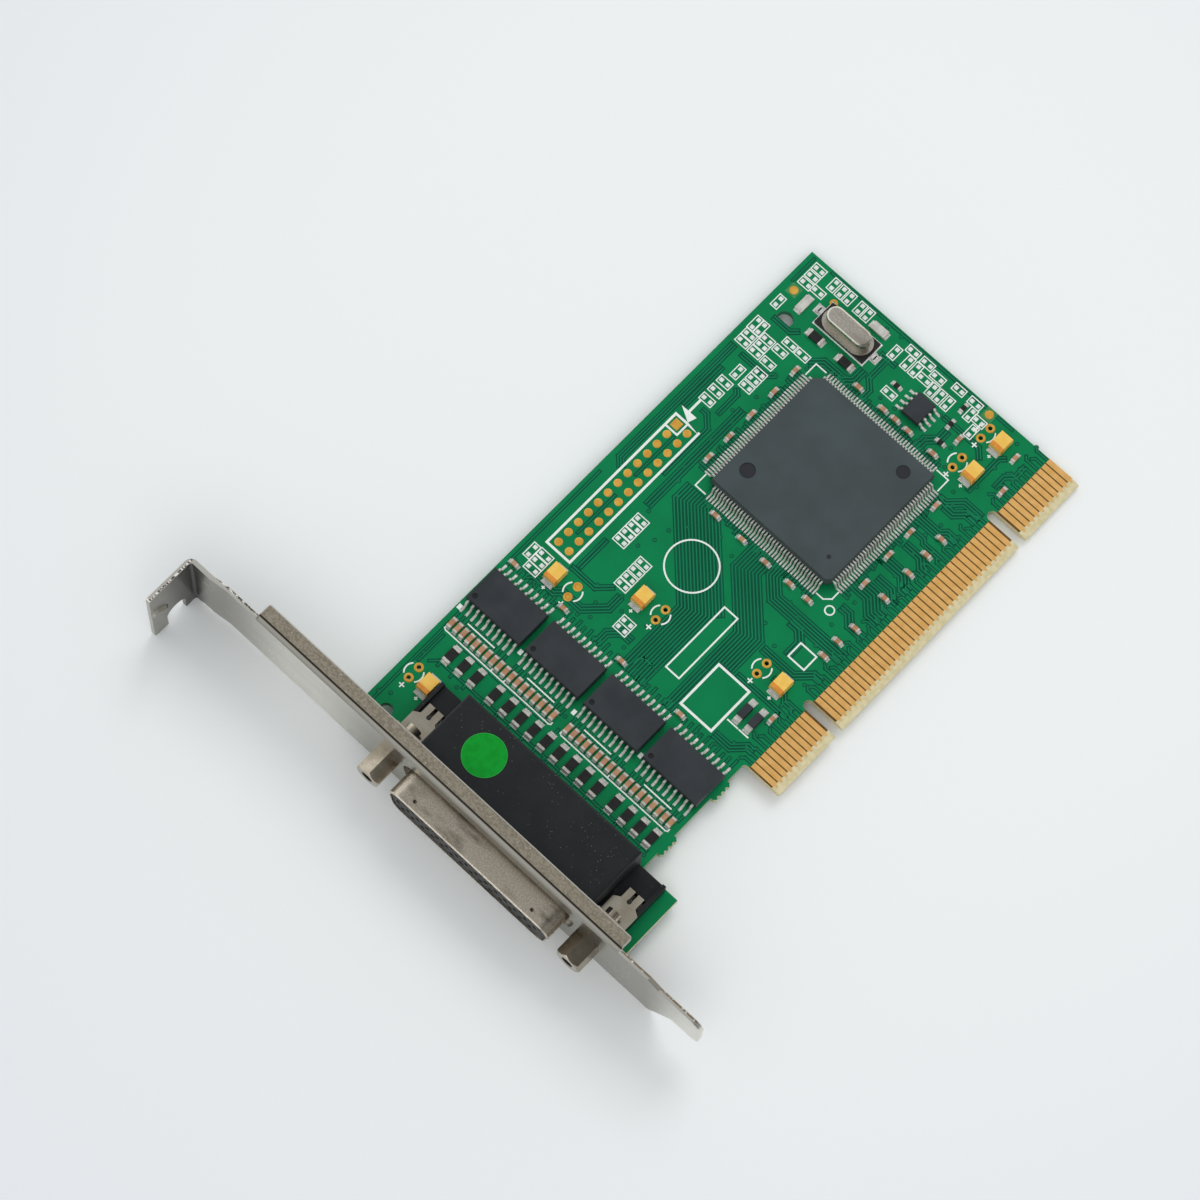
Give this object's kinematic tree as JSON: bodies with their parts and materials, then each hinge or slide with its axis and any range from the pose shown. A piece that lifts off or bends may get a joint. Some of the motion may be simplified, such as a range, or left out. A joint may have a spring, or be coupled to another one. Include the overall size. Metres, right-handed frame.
{
  "type": "serial port card",
  "caption": "Expansion card with an edge connector, a folded slot bracket and a high-density serial port held by two jackscrews.",
  "frame": {"origin": "on the board's component face, at the lower edge of the tongue, on the centreline of the key slot nearer the far end", "axes": "+X along the board away from the bracket, +Y from the edge contacts towards the top edge, +Z out of the component side"},
  "size_m": [0.1321, 0.1197, 0.0192],
  "materials": {
    "laminate": "green solder mask over glass laminate",
    "gold": "gold plating",
    "bracket_steel": "dull nickel-plated sheet",
    "shell_steel": "tin-plated drawn sheet",
    "nickel": "bright nickel plating",
    "black_moulding": "fine matte moulding",
    "chip_moulding": "satin epoxy moulding",
    "controller_moulding": "satin epoxy moulding",
    "tinned": "tinned leads",
    "green_paper": "matte label stock",
    "tantalum_case": "satin moulding",
    "resistor_ceramic": "glazed film on ceramic",
    "capacitor_ceramic": "fired ceramic",
    "grey_ceramic": "fired ceramic"
  },
  "bodies": {
    "root": {"array_capacitors": "capacitor_ceramic", "back_edge_contacts": "gold", "circuit_board": "laminate", "connector_contacts": "tinned", "connector_housing": "black_moulding", "connector_insulator": "black_moulding", "connector_shell": "shell_steel", "controller_body": "controller_moulding", "controller_leads": "tinned", "crystal_base": "black_moulding", "crystal_can": "shell_steel", "crystal_leads": "tinned", "decoupling_capacitors": "capacitor_ceramic", "diode_terminals": "tinned", "diodes": "chip_moulding", "ferrite_chips": "grey_ceramic", "front_edge_contacts": "gold", "inspection_dot": "green_paper", "line_driver_1_body": "chip_moulding", "line_driver_1_leads": "tinned", "line_driver_2_body": "chip_moulding", "line_driver_2_leads": "tinned", "line_driver_3_body": "chip_moulding", "line_driver_3_leads": "tinned", "line_driver_4_body": "chip_moulding", "line_driver_4_leads": "tinned", "lower_ground_clip": "nickel", "lower_jackscrew": "nickel", "memory_chip_body": "chip_moulding", "memory_chip_leads": "tinned", "pull_up_resistors": "resistor_ceramic", "series_resistors": "resistor_ceramic", "slot_bracket": "bracket_steel", "small_resistors": "resistor_ceramic", "tantalum_capacitors": "tantalum_case", "tantalum_terminals": "tinned", "upper_ground_clip": "nickel", "upper_jackscrew": "nickel"}
  },
  "joints": []
}
